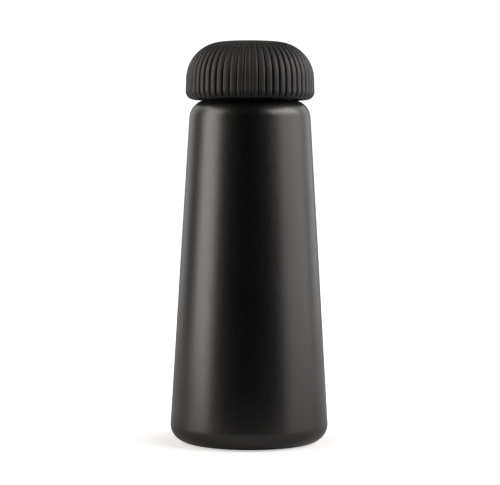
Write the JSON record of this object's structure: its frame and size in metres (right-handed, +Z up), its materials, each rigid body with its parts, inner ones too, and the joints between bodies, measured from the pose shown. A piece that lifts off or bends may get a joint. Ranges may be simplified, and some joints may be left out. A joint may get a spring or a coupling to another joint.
{
  "type": "vacuum flask",
  "caption": "Double-walled steel vacuum flask: tapered black body, round shoulder, ribbed mushroom-shaped cap on a threaded insulated stopper.",
  "frame": {"origin": "centre of the foot, on the surface that the flask stands on", "axes": "+Z up along the flask's axis, -Y towards the viewer, +X to the viewer's right"},
  "size_m": [0.0806, 0.0806, 0.2041],
  "materials": {
    "black_paint": "satin",
    "inner_steel": "satin",
    "plate_steel": "satin",
    "foil": "polished",
    "brazing_glass": "gloss",
    "getter_alloy": "matte",
    "tape": "matte",
    "black_silicone": "matte",
    "clear_silicone": "satin",
    "cap_plastic": "matte",
    "stopper_plastic": "satin",
    "foam": "matte"
  },
  "bodies": {
    "flask": {"outer_shell": "black_paint", "liner": "inner_steel", "liner_bottom": "inner_steel", "foil_wrap": "foil", "foil_disc": "foil", "base_pan": "plate_steel", "seal_bead": "brazing_glass", "getter": "getter_alloy", "getter_strap": "plate_steel", "base_tape": "tape", "base_plate": "plate_steel", "foot_ring": "black_silicone"},
    "seals": {"seal_ring": "clear_silicone", "rim_gasket": "clear_silicone"},
    "cap": {"cap_shell": "cap_plastic", "cap_underplate": "cap_plastic", "dome_foam": "foam", "stopper": "stopper_plastic", "stopper_foam": "foam", "stopper_disc": "inner_steel"}
  },
  "joints": [
    {"name": "cap_lift", "type": "slide", "parent": "flask", "child": "seals", "axis": [0, 0, 1], "range_m": [0, 0.0301]},
    {"name": "cap_turn", "type": "hinge", "parent": "seals", "child": "cap", "pos_m": [0, 0, 0], "axis": [0, 0, 1], "range_deg": [0, 2160]}
  ],
  "couplings": [
    {"joint": "cap_lift", "follows": "cap_turn", "m_per_rad": 0.00079577}
  ]
}
